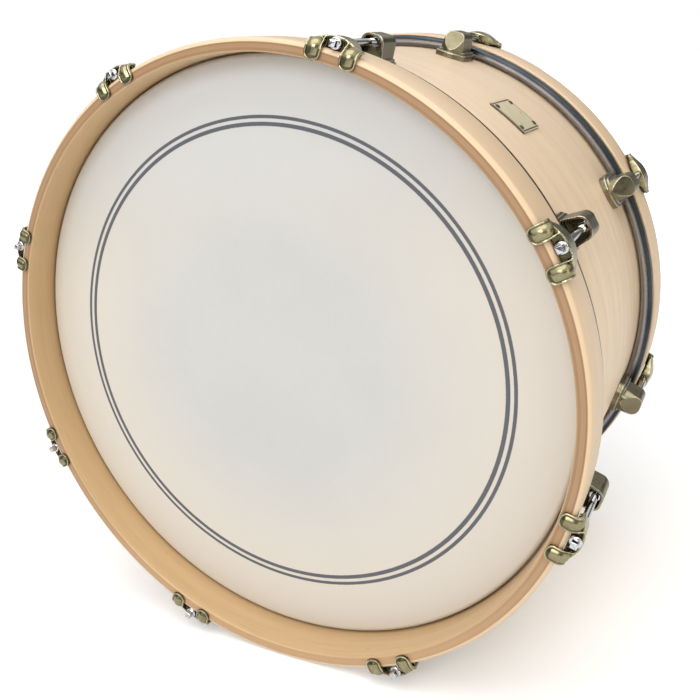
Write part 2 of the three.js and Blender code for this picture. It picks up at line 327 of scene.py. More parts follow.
def block(name, low, high):
    """A plain block between two corners."""
    low, high = Vector(low), Vector(high)
    bpy.ops.mesh.primitive_cube_add(size=1, location=(low + high) / 2, scale=high - low)
    return settle(named(name))


def bead(name, points, radius):
    """A round bead that follows a line of points."""
    piece = drawn(name, points, closed=False)
    bpy.ops.object.convert(target="CURVE")
    piece.data.bevel_depth = radius
    piece.data.bevel_resolution = 2
    piece.data.use_fill_caps = True
    bpy.ops.object.convert(target="MESH")
    with editing(piece):
        merge_close(FINE_MERGE)
        turn_outwards()
    return named(name)


def softened(piece, grain, rounds, keep):
    """A casting's skin: one closed surface with small fillets, thinned where it is plain."""
    modified(piece, "REMESH", mode="VOXEL", voxel_size=grain, use_smooth_shade=True)
    modified(piece, "SMOOTH", factor=0.5, iterations=rounds)
    mark_wear_and_shade(piece)
    modified(piece, "DECIMATE", ratio=keep)
    return piece


WEAR_REACH = 6
WEAR_SPREAD = 4
WEAR_CONTRAST = 1.1
# Painted shade under castings: how far the value drops on faces turned in towards the drum.
SHADE_PAINTED_UNDER = 0.6


def numbers(items, key, width, kind=float):
    """One value of all items, as rows of numbers."""
    values = np.empty(len(items) * width, dtype=kind)
    items.foreach_get(key, values)
    return values.reshape(-1, width)


def mark_wear_and_shade(piece):
    """Stores how far each point stands out from its neighbours, from 0 in a hollow to 1 on an edge, less on faces
    turned in towards the drum, which paints shade under the casting.
    """
    mesh = piece.data
    place = numbers(mesh.vertices, "co", 3)
    facing = numbers(mesh.vertex_normals, "vector", 3)
    first, second = numbers(mesh.edges, "vertices", 2, int).T
    links = np.maximum(np.bincount([*first, *second], minlength=len(place)), 1)

    def around(values):
        total = np.zeros_like(values)
        np.add.at(total, first, values[second])
        np.add.at(total, second, values[first])
        return (total.T / links).T

    reach = np.linalg.norm(place[first] - place[second], axis=1).mean()
    smoothed = place
    for _ in range(WEAR_REACH):
        smoothed = around(smoothed)
    lift = ((place - smoothed) * facing).sum(1) / reach
    for _ in range(WEAR_SPREAD):
        lift = (lift + around(lift)) / 2
    # Faces turned in towards the drum lie under the casting: lowering their value paints shade there in the plating's
    # hollow colour.
    wear_and_shade = 0.5 + lift * WEAR_CONTRAST - SHADE_PAINTED_UNDER * np.clip(-facing[:, 2] * 2, 0, 1)
    attribute = mesh.attributes.new("wear_and_shade", "FLOAT", "POINT")
    attribute.data.foreach_set("value", np.clip(wear_and_shade, 0, 1).astype(np.float32))


def smooth(piece, angle=30):
    """Smooth shading, with a crease where two faces meet more sharply than the angle in degrees."""
    only(piece)
    bpy.ops.object.shade_smooth_by_angle(angle=math.radians(angle))
    return piece


def shifted(x, y, z):
    return Matrix.Translation((x, y, z))


def turned(angle):
    """A turn about the drum's axis."""
    return Matrix.Rotation(angle, 4, "Y")


def drum_place():
    """From the drum's own millimetres about its axis to the frame."""
    return shifted(0, 0, AXIS_HEIGHT * MM) @ Matrix.Scale(MM, 4)


def end_place(side):
    """From millimetres behind an end's outer face to the frame."""
    turn = Matrix.Rotation(math.pi, 4, "Z") if side == "rear" else Matrix.Identity(4)
    return turn @ drum_place() @ shifted(0, -HALF_LENGTH, 0)


def stations(height):
    """Each station's end, number and place, with X along the rim and Z out from a height above the axis."""
    for side in SIDES:
        for i in range(STATIONS):
            angle = (i + 0.5) * FULL_TURN / STATIONS
            turn = turned(-angle if side == "rear" else angle)
            yield side, i + 1, end_place(side) @ turn @ shifted(0, 0, height)


def placed(model, name, matrix, body, material, nodes=()):
    """A copy of a model with its own mesh, put in place, finished and given to its body."""
    only(model)
    bpy.ops.object.duplicate(linked=False)
    piece = named(name)
    piece.matrix_world = matrix
    settle(piece)
    piece.data.materials.clear()
    piece.data.materials.append(material)
    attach(piece, body)
    if nodes:
        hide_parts(*nodes)
    return piece


def placed_at_both_ends(model, name, material, node, crease=30):
    """A ring at each end of the drum, on that end's rim."""
    for side in SIDES:
        smooth(placed(model, f"{side}_{name}", end_place(side), f"{side}_rim", material,
                      [f"{side}_{node}"]), crease)
    discard(model)


def discard(*models):
    for model in models:
        bpy.data.objects.remove(model)


# ---- Material helpers ----

WHITE = (1, 1, 1, 1)
BLACK = (0, 0, 0, 1)


def shade(colour, share=1.0):
    return (*(min(1, part * share) for part in colour[:3]), 1)


def fill(tree, node, inputs):
    """Fills in a node's inputs. Each is a value, a colour or another node's output."""
    for key, value in inputs.items():
        socket = node.inputs[key]
        if isinstance(value, bpy.types.NodeSocket):
            tree.links.new(value, socket)
        else:
            socket.default_value = shade(value) if socket.type == "RGBA" else value
    return node


def add(tree, kind, inputs=None, **settings):
    """A new node of a tree, its settings and inputs filled in."""
    node = tree.nodes.new(kind)
    for key, value in settings.items():
        setattr(node, key, value)
    return fill(tree, node, inputs or {})


def maths(tree, operation, *values, clamp=False):
    return add(tree, "ShaderNodeMath", dict(enumerate(values)), operation=operation, use_clamp=clamp).outputs[0]


def mixed(tree, share, first, second):
    """A colour between two others."""
    return add(tree, "ShaderNodeMix", {0: share, 6: first, 7: second}, data_type="RGBA").outputs[2]


def chosen(tree, share, first, second):
    """A value between two others."""
    return add(tree, "ShaderNodeMix", {0: share, 2: first, 3: second}, data_type="FLOAT").outputs[0]


def between(tree, value, low, high, start=0.0, end=1.0):
    """A value taken from one range to another, held at its ends."""
    return add(tree, "ShaderNodeMapRange", {0: value, 1: low, 2: high, 3: start, 4: end}, clamp=True).outputs[0]


def noise(tree, place, scale, detail, roughness=0.5):
    return add(tree, "ShaderNodeTexNoise", {
        "Vector": place, "Scale": scale, "Detail": detail, "Roughness": roughness}).outputs[0]


def about_middle(tree, value, reach):
    """A value from 0 to 1 as a small amount to either side of nothing."""
    return maths(tree, "MULTIPLY", maths(tree, "SUBTRACT", value, 0.5), reach)


def weighted(tree, first, second, share):
    """Two values added, the first by its share and the second by the rest."""
    return maths(tree, "ADD", maths(tree, "MULTIPLY", first, share), maths(tree, "MULTIPLY", second, 1 - share))


def height_of(tree, place):
    return add(tree, "ShaderNodeSeparateXYZ", {0: place}).outputs["Z"]


def stretched(tree, place, scale):
    return add(tree, "ShaderNodeMapping", {"Vector": place, "Scale": scale}).outputs[0]


def bump(tree, height, strength, distance):
    return add(tree, "ShaderNodeBump", {"Height": height, "Strength": strength, "Distance": distance}).outputs[0]


def group(name, inputs, outputs):
    """A new node group: its tree, what it is given and its output node. An input's default tells its kind."""
    tree = bpy.data.node_groups.new(name, "ShaderNodeTree")
    for label, default in inputs.items():
        kind = "Vector" if default is None else "Color" if isinstance(default, tuple) else "Float"
        socket = tree.interface.new_socket(label, in_out="INPUT", socket_type="NodeSocket" + kind)
        if default is not None:
            socket.default_value = default
    for label, kind in outputs.items():
        tree.interface.new_socket(label, in_out="OUTPUT", socket_type="NodeSocket" + kind)
    return tree, tree.nodes.new("NodeGroupInput").outputs, tree.nodes.new("NodeGroupOutput")


def use(tree, name, inputs):
    """The outputs of a node group that is used in a tree."""
    return add(tree, "ShaderNodeGroup", inputs, node_tree=bpy.data.node_groups[name]).outputs


def around_axis_group():
    """Splits a place into its radius from the drum's axis and its place along it."""
    tree, given, made = group(
        "Around the axis", {"Place": None}, {"Radius": "Float", "Along": "Float", "Turned": "Vector"})
    apart = add(tree, "ShaderNodeSeparateXYZ", {0: given["Place"]}).outputs
    up = maths(tree, "SUBTRACT", apart["Z"], AXIS_HEIGHT * MM)
    squares = maths(tree, "ADD", maths(tree, "MULTIPLY", apart["X"], apart["X"]), maths(tree, "MULTIPLY", up, up))
    about = add(tree, "ShaderNodeCombineXYZ", {0: apart["X"], 1: apart["Y"], 2: up}).outputs[0]
    fill(tree, made, {"Radius": maths(tree, "SQRT", squares), "Along": apart["Y"], "Turned": about})


def grain_group():
    """Fine wood grain: long soft figure, thin pores and a little mottle, from a stretched place."""
    tree, given, made = group(
        "Wood grain", {"Place": None, "Light": WHITE, "Dark": BLACK, "Figure": 0.5, "Pores": 0.3},
        {"Colour": "Color", "Height": "Float", "Roughness": "Float"})
    broad = noise(tree, given["Place"], 0.35, 3, 0.55)
    fine = noise(tree, given["Place"], 2.1, 5, 0.62)
    pores = noise(tree, given["Place"], 6.5, 2)
    figure = between(tree, weighted(tree, broad, fine, 0.6), 0.34, 0.66)
    figure = maths(tree, "MULTIPLY", figure, given["Figure"])
    lines = maths(tree, "MULTIPLY", between(tree, pores, 0.56, 0.72), given["Pores"])
    dark = maths(tree, "ADD", figure, lines, clamp=True)
    fill(tree, made, {
        "Colour": mixed(tree, dark, given["Light"], given["Dark"]),
        "Height": maths(tree, "SUBTRACT", 1.0, lines),
        "Roughness": between(tree, fine, 0.3, 0.7, 0.3, 0.42)})


def handling_group():
    """Soft smudges and fine scratches that lift the roughness of a polished metal."""
    tree, given, made = group(
        "Handling marks", {"Place": None, "Least": 0.2, "Most": 0.4, "Size": 60.0},
        {"Roughness": "Float", "Marks": "Float"})
    smudge = noise(tree, given["Place"], given["Size"], 4)
    fine = noise(tree, given["Place"], 900, 2)
    share = between(tree, weighted(tree, smudge, fine, 0.7), 0.36, 0.64)
    fill(tree, made, {"Roughness": between(tree, share, 0, 1, given["Least"], given["Most"]), "Marks": share})


def edge_wear_group():
    """Antique plating: dark in the hollows, its own colour on the flats, polished bright on the edges."""
    tree, given, made = group(
        "Edge wear", {"Wear_and_shade": 0.5, "Marks": 0.5, "Hollow": BLACK, "Flat": WHITE, "Edge": WHITE},
        {"Colour": "Color", "Polish": "Float"})
    loose = maths(tree, "ADD", given["Wear_and_shade"], about_middle(tree, given["Marks"], 0.12))
    colour = mixed(tree, between(tree, loose, 0.30, 0.48, 1.0, 0.0), given["Flat"], given["Hollow"])
    edge = between(tree, loose, 0.60, 0.86)
    fill(tree, made, {"Colour": mixed(tree, edge, colour, given["Edge"]), "Polish": edge})


def build_groups():
    """Builds the node groups, before the first finish."""
    if "Around the axis" not in bpy.data.node_groups:
        for make in (around_axis_group, grain_group, handling_group, edge_wear_group):
            make()


def finish_of(name):
    """A new material with its tree, its Principled shader and the piece's own coordinates."""
    build_groups()
    material = bpy.data.materials.new(name)
    material.use_nodes = True
    tree = material.node_tree
    return material, tree, tree.nodes["Principled BSDF"], add(tree, "ShaderNodeTexCoord").outputs["Object"]


def around_axis(tree, place):
    return use(tree, "Around the axis", {"Place": place})


def wood_grain(tree, about, squeeze, colour, light, dark, figure, pores):
    """Grain that runs round the drum, in shares of a colour."""
    return use(tree, "Wood grain", {
        "Place": stretched(tree, about, squeeze), "Light": shade(colour, light), "Dark": shade(colour, dark),
        "Figure": figure, "Pores": pores})


def handling_marks(tree, place, least, most, size):
    return use(tree, "Handling marks", {"Place": place, "Least": least, "Most": most, "Size": size})


def maple_finish():
    """Satin maple, with the outer ply's grain running round the shell."""
    material, tree, shader, place = finish_of("satin maple")
    maple = sizes().maple
    about = around_axis(tree, place)["Turned"]
    grain = wood_grain(tree, about, (9, 150, 9), maple, 1.07, 0.74, 0.6, 0.32)
    drift = between(tree, noise(tree, place, 5, 1), 0.35, 0.65, 0.0, 0.35)
    fill(tree, shader, {
        "Base Color": mixed(tree, drift, grain["Colour"], shade(maple, 0.9)),
        "Roughness": grain["Roughness"], "Specular IOR Level": 0.3,
        "Normal": bump(tree, grain["Height"], 0.06, 0.0002)})
    return material


HOOP_PLIES = 7
VENEER_STARTS = 43
VENEER_ENDS = 35
KNOT = (0.0829, -0.1759, 0.0262)
PLY_DARK = (0.30, 0.174, 0.09)
PLY_LIGHT = (0.39, 0.24, 0.13)
PLY_STREAK = (0.31, 0.178, 0.096)
# Painted light: a lighter ply colour for the lower part of the hoop.
PLY_LIT_LOW_DOWN = (0.50, 0.315, 0.165)
GLUE = (0.26, 0.14, 0.074)
KNOT_BROWN = (0.09, 0.04, 0.02)


def hoop_finish():
    """Bent and laminated maple: plies show as fine rings on the faces, grain runs round the walls."""
    material, tree, shader, place = finish_of("laminated hoop maple")
    axis = around_axis(tree, place)
    radius, about = axis["Radius"], axis["Turned"]
    thickness = sizes().hoop_thickness
    outer = HOOP_RADIUS * MM
    inner = outer - thickness
    layer = maths(tree, "MULTIPLY", maths(tree, "SUBTRACT", radius, inner), HOOP_PLIES / thickness)
    tone = add(tree, "ShaderNodeTexWhiteNoise", {"W": maths(tree, "FLOOR", layer)}, noise_dimensions="1D")
    seam = maths(tree, "ABSOLUTE", maths(tree, "SUBTRACT", maths(tree, "FRACT", layer), 0.5))
    glue = maths(tree, "MULTIPLY", between(tree, seam, 0.42, 0.5), 0.55)
    grain = wood_grain(tree, about, (7, 190, 7), sizes().hoop_maple, 1.12, 0.80, 0.5, 0.25)

    # The outer veneer reaches round the hoop's rounded edge.
    reach = maths(tree, "ABSOLUTE", axis["Along"])
    veneer = between(tree, reach, (HALF_LENGTH - VENEER_STARTS) * MM, (HALF_LENGTH - VENEER_ENDS) * MM,
                     outer - 0.0055, outer - 0.0040)
    outside = between(tree, maths(tree, "SUBTRACT", radius, veneer), 0.0, 0.0006)
    inside = between(tree, radius, inner + 0.0004, inner + 0.0014, 1.0, 0.0)
    streak = between(tree, noise(tree, stretched(tree, about, (40, 40, 40)), 1, 3), 0.4, 0.7, 0.0, 0.25)
    # Painted light: the plies' end grain is drawn lighter towards the bottom of the hoop, where light falls on its
    # face.
    lit_low_down = between(tree, height_of(tree, place), 0.03, 0.2, 0.75, 0.0)
    plies = mixed(tree, tone.outputs["Value"], PLY_DARK, PLY_LIGHT)
    for share, colour in ((glue, GLUE), (streak, PLY_STREAK), (lit_low_down, PLY_LIT_LOW_DOWN)):
        plies = mixed(tree, share, plies, colour)
    pale = mixed(tree, 0.62, grain["Colour"], shade(sizes().maple, 0.96))
    walls = mixed(tree, outside, grain["Colour"], pale)
    wood = mixed(tree, maths(tree, "MAXIMUM", outside, inside), plies, walls)
    off_knot = add(tree, "ShaderNodeVectorMath", {0: place, 1: KNOT}, operation="DISTANCE").outputs["Value"]
    fill(tree, shader, {
        "Base Color": mixed(tree, between(tree, off_knot, 0.0010, 0.0021, 0.9, 0.0), wood, KNOT_BROWN),
        "Roughness": grain["Roughness"], "Specular IOR Level": 0.35, "Coat Weight": 0.08,
        "Coat Roughness": 0.3, "Normal": bump(tree, grain["Height"], 0.08, 0.0002)})
    return material


PRINT_OFFSET = (1.5, -1.8)
RING_LINES = ((-4.9, -1.2), (1.8, 4.9))
INK_EDGE = 0.25
# Painted light and shade on the head: warm light on its outer part, a lighter top and shade at the rim.
FILM_WARM_LIGHT = (0.625, 0.575, 0.50)
FILM_TOP_LIGHT = (0.583, 0.583, 0.574)
FILM_RIM_SHADE = (0.55, 0.45, 0.34)


def film_finish():
    """Coated film: off-white, finely pebbled, with the printed double ring; painted warm light on its outer part, a
    painted lighter top and painted shade at its rim.
    """
    material, tree, shader, place = finish_of("coated film")
    film = sizes().film
    shift = (-PRINT_OFFSET[0] * MM, 0, -PRINT_OFFSET[1] * MM)
    from_middle = around_axis(tree, add(tree, "ShaderNodeMapping", {"Vector": place, "Location": shift}).outputs[0])
    from_middle = from_middle["Radius"]
    ragged = about_middle(tree, noise(tree, place, 700, 1), 0.35)
    radius = maths(tree, "ADD", maths(tree, "DIVIDE", from_middle, MM), ragged)
    ink = 0.0
    for start, end in RING_LINES:
        start, end = (sizes().ring_radius / MM + edge for edge in (start, end))
        line = maths(tree, "MULTIPLY", between(tree, radius, start - INK_EDGE, start + INK_EDGE),
                     between(tree, radius, end - INK_EDGE, end + INK_EDGE, 1.0, 0.0))
        ink = maths(tree, "MAXIMUM", ink, line)
    mottle = between(tree, noise(tree, place, 9, 4, 0.6), 0.3, 0.7)
    speck = noise(tree, place, 420, 2)
    coat = mixed(tree, mottle, shade(film, 1.02), shade(film, 0.97))
    coat = mixed(tree, between(tree, speck, 0.5, 0.75, 0.0, 0.12), coat, shade(film, 0.86))
    height = height_of(tree, place)
    # Painted light: a warmer, lighter tone over the outer part of the head, fading near the top, stands in for warm
    # light bounced onto it.
    warm_light = maths(tree, "MULTIPLY", between(tree, from_middle, 0.11, 0.22, 0.0, 0.9),
                 between(tree, height, 0.36, 0.50, 1.0, 0.2))
    # Painted light: the film is drawn lighter near the top of the head.
    lit_high_up = between(tree, height, 0.42, 0.56)
    # Painted shade, tinted warm, on the band of film just inside the hoop's inner wall.
    rim = between(tree, from_middle, 0.266, 0.2815, 0.0, 0.3)
    for share, colour in ((warm_light, FILM_WARM_LIGHT), (lit_high_up, FILM_TOP_LIGHT), (rim, FILM_RIM_SHADE),
                          (maths(tree, "MULTIPLY", ink, 0.93), sizes().ring_ink)):
        coat = mixed(tree, share, coat, colour)
    fill(tree, shader, {
        "Base Color": coat, "Roughness": between(tree, speck, 0.3, 0.7, 0.5, 0.62),
        "Normal": bump(tree, noise(tree, place, 1500, 2), 0.10, 0.0001)})
    return material


# Painted shadow on the front flesh hoop.
FRONT_PAINTED_SHADOW = (0.035, 0.028, 0.018)


def aluminium_finish():
    """Rolled aluminium, brushed round the ring, with a painted reflection, light towards the shell and dark on its
    outer side, and painted shadow on the front ring.
    """
    material, tree, shader, place = finish_of("rolled aluminium")
    axis = around_axis(tree, place)
    brushed = noise(tree, stretched(tree, axis["Turned"], (6, 1400, 6)), 1, 3)
    marks = handling_marks(tree, place, 0.24, 0.42, 35)
    # Painted reflection: the part towards the shell is drawn light lilac grey and the outer part dark blue-black, as
    # the rolled edge mirrors its surroundings.
    dark_reflection_outside = between(tree, axis["Radius"], (CHANNEL_RADIUS - 5.4) * MM, (CHANNEL_RADIUS - 3.2) * MM)
    light = mixed(tree, marks["Marks"], (0.44, 0.46, 0.53), (0.33, 0.345, 0.40))
    light = mixed(tree, between(tree, brushed, 0.35, 0.65, 0.0, 0.3), light, (0.50, 0.52, 0.59))
    dark = mixed(tree, marks["Marks"], (0.06, 0.068, 0.075), (0.038, 0.044, 0.05))
    # Painted shadow: the front flesh hoop, which sits in shade behind the front hoop, is drawn dark brown.
    front_shadow = between(tree, axis["Along"], -0.14, -0.12, 0.8, 0.0)
    fill(tree, shader, {
        "Base Color": mixed(tree, front_shadow, mixed(tree, dark_reflection_outside, light, dark), FRONT_PAINTED_SHADOW),
        "Roughness": marks["Roughness"], "Metallic": 1, "Normal": bump(tree, brushed, 0.05, 0.0001)})
    return material


def plated_finish(name, colour, hollow_share, edge_colour, least, most):
    """Antique brass plating over a casting."""
    material, tree, shader, place = finish_of(name)
    wear_and_shade = add(tree, "ShaderNodeAttribute", attribute_name="wear_and_shade", attribute_type="GEOMETRY").outputs["Fac"]
    marks = handling_marks(tree, place, least, most, 140)
    plating = use(tree, "Edge wear", {
        "Wear_and_shade": wear_and_shade, "Marks": marks["Marks"], "Hollow": shade(colour, hollow_share),
        "Flat": colour, "Edge": edge_colour})
    cloud = between(tree, noise(tree, place, 95, 3), 0.4, 0.68, 0.0, 0.45)
    polish = maths(tree, "MULTIPLY", plating["Polish"], 0.12)
    fill(tree, shader, {
        "Base Color": mixed(tree, cloud, plating["Colour"], shade(colour, 0.66)),
        "Roughness": maths(tree, "SUBTRACT", marks["Roughness"], polish, clamp=True),
        "Metallic": 1, "Normal": bump(tree, noise(tree, place, 1100, 2), 0.05, 0.0001)})
    return material


def polished_finish(name, clean, dull, least, most, size):
    """A bare metal with handling marks."""
    material, tree, shader, place = finish_of(name)
    marks = handling_marks(tree, place, least, most, size)
    fill(tree, shader, {
        "Base Color": mixed(tree, marks["Marks"], clean, dull),
        "Roughness": marks["Roughness"], "Metallic": 1})
    return material


def chrome_finish():
    return polished_finish("chrome", (0.66, 0.67, 0.70), (0.55, 0.56, 0.60), 0.07, 0.2, 220)


def steel_finish():
    """Dark browned steel for pins and screws."""
    return polished_finish("browned steel", (0.055, 0.046, 0.034), (0.10, 0.086, 0.062), 0.22, 0.45, 260)


def plate_finish():
    """Brushed pale brass for the badge, dark in its border groove and, as painted shade, on the plate's sides."""
    material, tree, shader, place = finish_of("brushed plate brass")
    brushed = noise(tree, stretched(tree, place, (60, 2600, 60)), 1, 4)
    marks = handling_marks(tree, place, 0.26, 0.44, 90)
    flat = mixed(tree, marks["Marks"], (0.76, 0.665, 0.45), (0.63, 0.55, 0.36))
    flat = mixed(tree, between(tree, brushed, 0.35, 0.65, 0.0, 0.5), flat, (0.86, 0.77, 0.54))
    groove_and_side_shade = add(tree, "ShaderNodeAttribute", attribute_name="groove_and_side_shade", attribute_type="GEOMETRY").outputs["Fac"]
    fill(tree, shader, {
        "Base Color": mixed(tree, maths(tree, "MULTIPLY", groove_and_side_shade, 0.92), flat, (0.05, 0.04, 0.025)),
        "Roughness": marks["Roughness"], "Metallic": 0.45, "Normal": bump(tree, brushed, 0.08, 0.0001)})
    return material


# ---- Pieces ----

BEARING_ROUND = 3.5
VENT_BORE = 6.0


class DRUM_OT_shell(bpy.types.Operator):
    """Builds the maple shell, with its bearing edges and the vent's bore"""

    bl_idname = "drum.shell"
    bl_label = "Shell"

    def execute(self, context):
        inner = SHELL_RADIUS - sizes().shell_wall / MM
        start = SHELL_END - HALF_LENGTH
        points = [(inner, start), (SHELL_RADIUS, start), (SHELL_RADIUS, -start), (inner, -start)]
        rounds = [(1, BEARING_ROUND, 5), (2, BEARING_ROUND, 5), (0, 3.2, 1), (3, 3.2, 1)]
        piece = ring("drum_shell", points, rounds)
        bore = bar("vent_bore", VENT_BORE, -SHELL_RADIUS - 10, -inner + 10, sides=32, axis="Z")
        bore.matrix_world = turned(QUARTER_TURN)
        cut(piece, settle(bore))
        smooth(placed(piece, "maple_shell", drum_place(), "shell", maple_finish(), ["shell"]))
        discard(piece)
        return {"FINISHED"}


class DRUM_OT_hoops(bpy.types.Operator):
    """Builds the two wood hoops, with a well rounded outer edge"""

    bl_idname = "drum.hoops"
    bl_label = "Hoops"

    def execute(self, context):
        inner = HOOP_RADIUS - sizes().hoop_thickness / MM
        points = [(inner, 0), (HOOP_RADIUS, 0), (HOOP_RADIUS, HOOP_DEPTH), (inner, HOOP_DEPTH)]
        model = ring("hoop", points, [(0, 1.8, 4), (1, 4, 7), (2, 1.8, 4), (3, 1.8, 3)])
        placed_at_both_ends(model, "wood_hoop", hoop_finish(), "hoop")
        return {"FINISHED"}


FILM_THICKNESS = 0.8


class DRUM_OT_heads(bpy.types.Operator):
    """Builds the two heads: a film that turns over the bearing edge into its flesh hoop"""

    bl_idname = "drum.heads"
    bl_label = "Heads"

    def execute(self, context):
        apex = SHELL_RADIUS - BEARING_ROUND
        turn = SHELL_END + BEARING_ROUND
        outer = turn - FILM_FACE
        start = CHANNEL_START + 1.1
        points = [(r, FILM_FACE) for r in (0.05, 40, 90, 140, 190, 235, 262)]
        points += arc(apex, turn, outer, -90, 0, 8)
        points += [(apex + outer, turn + 3.6), (apex + outer + 0.8, turn + 4.6), (CHANNEL_RADIUS - 6.2, start)]
        points += [(FILM_RIM - 1.1, start), (FILM_RIM - 0.6, start + 0.6), (FILM_RIM - 0.6, FILM_BACK - 0.5)]
        model = drawn("film", ring_outline(points), closed=False)
        with editing(model):
            spin(RING_STEPS)
            merge_close(MERGE)
            pick(model, "FACE", lambda f: f.calc_area() < 1e-7)
            bpy.ops.mesh.delete(type="FACE")
            turn_outwards()
        with editing(model):
            face = next(f for f in bmesh.from_edit_mesh(model.data).faces if middle(f).xz.length < 200)
            if face.normal.y > 0:
                bpy.ops.mesh.flip_normals()
        modified(model, "SOLIDIFY", thickness=FILM_THICKNESS, offset=-1.0)
        placed_at_both_ends(model, "coated_head", film_finish(), "head", 40)
        return {"FINISHED"}


class DRUM_OT_flesh_hoops(bpy.types.Operator):
    """Builds the two flesh hoops, the rolled channels that hold the heads' rims"""

    bl_idname = "drum.flesh_hoops"
    bl_label = "Flesh Hoops"

    def execute(self, context):
        start = CHANNEL_START
        end = CHANNEL_END + 0.3
        outer = CHANNEL_RADIUS + 0.4
        inner = outer - 8.7
        wall = 1.5
        points = [(inner, start + 1.8), (inner + wall, start + 1.8), (inner + wall, end - wall),
                  (outer - wall, end - wall), (outer - wall, start), (outer, start), (outer, end), (inner, end)]
        rounds = [(0, 0.4, 2), (4, 0.35, 2), (5, 0.9, 3), (6, 3.0, 6), (7, 2.4, 5)]
        model = ring("channel", points, rounds)
        placed_at_both_ends(model, "channel", aluminium_finish(), "flesh_hoop")
        return {"FINISHED"}


# Claws are drawn with X along the rim, Y into the drum and Z out from the hoop's outer surface.
CLAW_HALF = 23.0
TONGUE_HALF = 7.25
TONGUE_MIDDLE = CLAW_HALF - TONGUE_HALF
TONGUE_TIP = -6.6
TIP_SHARE = 0.72
NOSE_FRONT = -1.0
NOSE_BEND = -2.5
NOSE_RADIUS = 5.2
ROOF_RADIUS = 34.0
ROOF_CENTRE = -22.9
ROOF_FALL = 0.05
ROOF_WALL = 2.2
ROOF_FRONT = 4.0
ROOF_BACK = 40.0
ROOF_LENGTH = 60.0
GAP_HALF = 8.5
SEAT_START = 3.9
SEAT_END = 9.0
ROD_HEIGHT = 5.5
PILLOW = [(-7.25, -0.6), (-7.25, 1.2), (-6.8, 2.0), (-6.1, 2.1), (-5.3, 1.9), (-4.3, 2.6), (-2.4, 3.6), (0, 4.0)]


def tongue(side):
    """One tongue: a pillowed bar that bends over the hoop's edge, with a round end."""
    x = side * TONGUE_MIDDLE
    outline = PILLOW + [(-across, out) for across, out in reversed(PILLOW[:-1])]
    piece = drawn("tongue", [(x + across, NOSE_FRONT - out, TONGUE_TIP) for across, out in outline])
    with editing(piece):
        extrude((0, 0, NOSE_BEND - TONGUE_TIP))
        spin(8, QUARTER_TURN, (x, NOSE_FRONT + NOSE_RADIUS, NOSE_BEND), (1, 0, 0))
        extrude((0, 6, 0))
        merge_close(FINE_MERGE)
        turn_outwards()
    half = [(x, NOSE_FRONT + 0.6, TONGUE_TIP)]
    half += [(x + across, NOSE_FRONT - out, TONGUE_TIP) for across, out in PILLOW]
    end = drawn("tongue_end", half)
    with editing(end):
        spin(24, centre=(x, 0, TONGUE_TIP))
        drop_outline(end)
        merge_close(FINE_MERGE)
        bpy.ops.mesh.delete_loose(use_verts=True, use_edges=True, use_faces=False)
        select_all()
        bpy.ops.transform.resize(value=(1, 1, TIP_SHARE), center_override=(x, 0, TONGUE_TIP))
        turn_outwards()
    return piece, end


def roof_height(x):
    return ROOF_CENTRE + math.sqrt(ROOF_RADIUS ** 2 - x * x)


def roof():
    """The hollow half-round roof behind the tongues, which falls a little towards the back."""
    drop = (ROOF_BACK - ROOF_FRONT) * ROOF_FALL
    forward = (0, -ROOF_LENGTH, ROOF_LENGTH * ROOF_FALL)
    piece = prism("roof", [(x, y, -1) for x, y in arc(0, 0, CLAW_HALF, 10, 170, 22)], (0, 0, 14))
    edge = [(x, ROOF_BACK, z - drop) for x, z in arc(0, ROOF_CENTRE, ROOF_RADIUS, 134, 46, 20)]
    sides = [(x, ROOF_BACK, z) for x, z in ((30, -14), (-30, -14), (-30, edge[0][2]))]
    sides += [*edge, (30, *edge[0][1:])]
    combined(piece, prism("crest", sides, forward), "INTERSECT")
    inside = [(x, ROOF_BACK, z - drop) for x, z in arc(0, ROOF_CENTRE, ROOF_RADIUS - ROOF_WALL, 122, 58, 14)]
    hollow = prism("hollow", [(17, ROOF_BACK, -14), (-17, ROOF_BACK, -14), *inside], forward)
    combined(hollow, block("behind_the_wall", (-40, 7.5, -40), (40, 80, 60)), "INTERSECT")
    combined(hollow, bar("inside_the_skirt", CLAW_HALF - ROOF_WALL, -40, 60, sides=64, axis="Z"), "INTERSECT")
    return cut(piece, hollow)


def nose_line(x, out, end=90.0, steps=6):
    """A line that follows the tongue round the hoop's edge, at a distance out from its wall."""
    bend = arc(0, 0, NOSE_RADIUS + out, 0, end, steps)
    return [(x, NOSE_FRONT + NOSE_RADIUS - ahead, NOSE_BEND + up) for ahead, up in bend]


def claw_bead():
    """The polished line: round each tongue, and along the roof's front edge between them."""
    half = TONGUE_HALF - 0.7
    right = nose_line(TONGUE_MIDDLE + half, 2.0)[::-1]
    right += [(TONGUE_MIDDLE + x, NOSE_FRONT - 2.0, TONGUE_TIP + TIP_SHARE * z)
              for x, z in arc(0, 0, half, 0, -180, 14)]
    right += nose_line(TONGUE_MIDDLE - half, 2.0, 46, 4)
    right += [(9.6, 0.6, 4.4), (10.3, 2.2, 6.2), (10.4, 3.4, 7.8), (9.6, 4.1, 8.9)]
    over = [(x, 4.2, roof_height(x) - 0.35) for x in (8, 5, 2, 0, -2, -5, -8)]
    left = [(-x, y, z) for x, y, z in reversed(right)]
    return bead("bead", right + over + left, 0.7)


